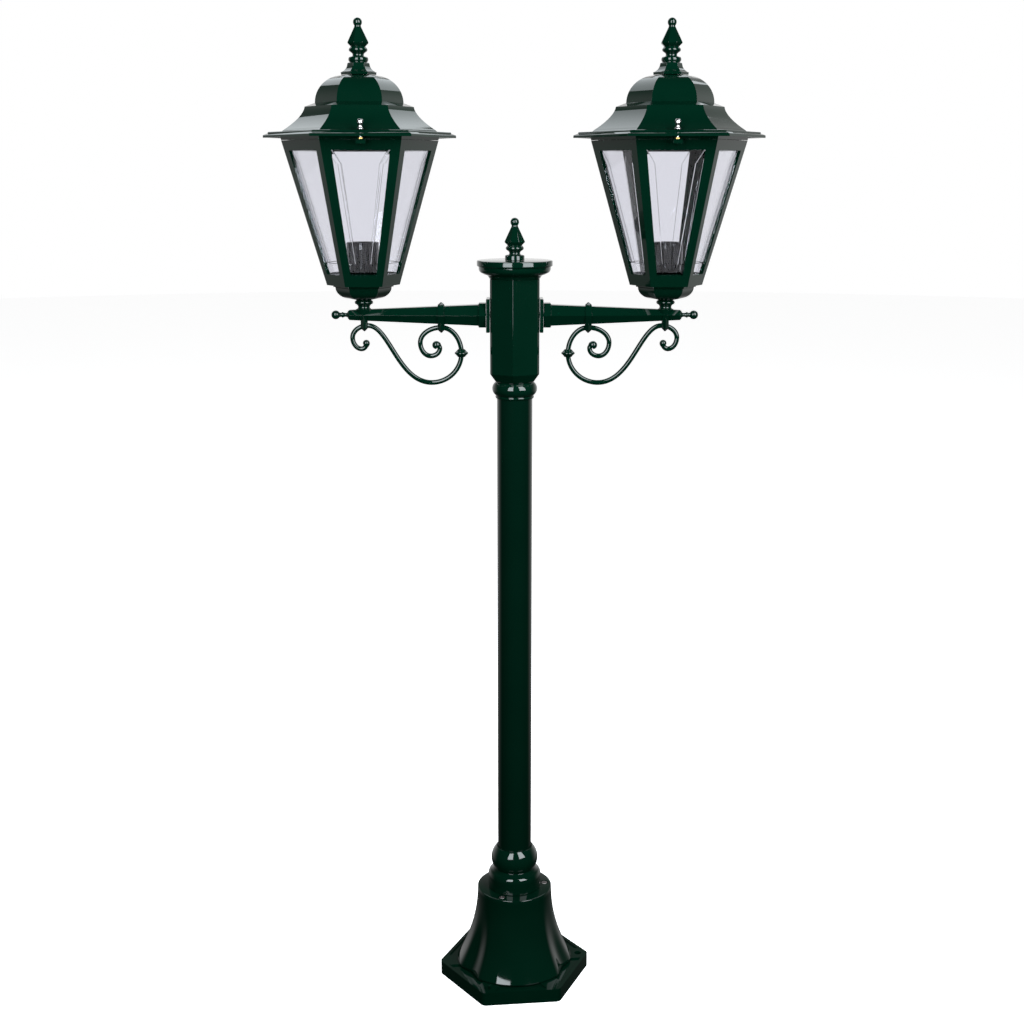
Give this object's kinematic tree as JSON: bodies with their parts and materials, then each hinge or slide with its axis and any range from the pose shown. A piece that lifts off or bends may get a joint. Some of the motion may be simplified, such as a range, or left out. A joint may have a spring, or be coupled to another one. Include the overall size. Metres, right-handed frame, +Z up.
{
  "type": "twin-head garden post light",
  "caption": "Short post light: round tube on a fluted cast foot, hub with tapered side arms and scrolls, hexagonal glazed lanterns with hinged ogee roofs and spear finials.",
  "frame": {"origin": "centre of the foot's underside, on the post's axis", "axes": "+Z up the post, +X along the right-hand arm, -Y towards the front panes and the roofs' thumb screws"},
  "size_m": [0.7192, 0.2539, 1.4864],
  "materials": {
    "green_paint": "gloss powder coat, very dark green",
    "clear_glass": "clear, bevelled edges",
    "bright_steel": "bright plated",
    "phenolic": "gloss black",
    "brass": "bright",
    "lead_sheath": "matt",
    "terminal_plastic": "matt"
  },
  "bodies": {
    "post": {"base_casting": "green_paint", "tube_flange": "green_paint", "collar_screw_1": "bright_steel", "collar_screw_2": "bright_steel", "collar_screw_3": "bright_steel", "base_collar": "green_paint", "post_tube": "green_paint", "hub_collar": "green_paint", "hub_casing": "green_paint", "hub_cap": "green_paint", "hub_finial": "green_paint", "terminal_block": "terminal_plastic", "left_arm_plate": "green_paint", "left_arm": "green_paint", "left_arm_knob": "green_paint", "left_inner_clip": "green_paint", "left_outer_clip": "green_paint", "left_scroll": "green_paint", "left_scroll_bead": "green_paint", "left_lantern_stem": "green_paint", "left_nipple": "bright_steel", "left_lantern_bowl": "green_paint", "left_lantern_frame": "green_paint", "left_pane_1": "clear_glass", "left_pane_2": "clear_glass", "left_pane_3": "clear_glass", "left_pane_4": "clear_glass", "left_pane_5": "clear_glass", "left_pane_6": "clear_glass", "left_lampholder": "phenolic", "left_lamp_socket": "brass", "left_hinge_pin": "bright_steel", "left_lead": "lead_sheath", "right_arm_plate": "green_paint", "right_arm": "green_paint", "right_arm_knob": "green_paint", "right_inner_clip": "green_paint", "right_outer_clip": "green_paint", "right_scroll": "green_paint", "right_scroll_bead": "green_paint", "right_lantern_stem": "green_paint", "right_nipple": "bright_steel", "right_lantern_bowl": "green_paint", "right_lantern_frame": "green_paint", "right_pane_1": "clear_glass", "right_pane_2": "clear_glass", "right_pane_3": "clear_glass", "right_pane_4": "clear_glass", "right_pane_5": "clear_glass", "right_pane_6": "clear_glass", "right_lampholder": "phenolic", "right_lamp_socket": "brass", "right_hinge_pin": "bright_steel", "right_lead": "lead_sheath"},
    "left_lid": {"left_roof": "green_paint", "left_roof_finial": "green_paint"},
    "left_thumbscrew": {"left_roof_screw": "bright_steel"},
    "right_lid": {"right_roof": "green_paint", "right_roof_finial": "green_paint"},
    "right_thumbscrew": {"right_roof_screw": "bright_steel"}
  },
  "joints": [
    {"name": "left_roof_hinge", "type": "hinge", "parent": "post", "child": "left_lid", "pos_m": [-0.23486, 0.12233, 1.3134], "axis": [-0.9945, -0.1045, 0], "range_deg": [0, 100]},
    {"name": "left_screw_lift", "type": "slide", "parent": "left_lid", "child": "left_thumbscrew", "axis": [0, 0, 1], "range_m": [0, 0.01]},
    {"name": "right_roof_hinge", "type": "hinge", "parent": "post", "child": "right_lid", "pos_m": [0.222, 0.123, 1.3134], "axis": [-1, 0, 0], "range_deg": [0, 100]},
    {"name": "right_screw_lift", "type": "slide", "parent": "right_lid", "child": "right_thumbscrew", "axis": [0, 0, 1], "range_m": [0, 0.01]}
  ]
}
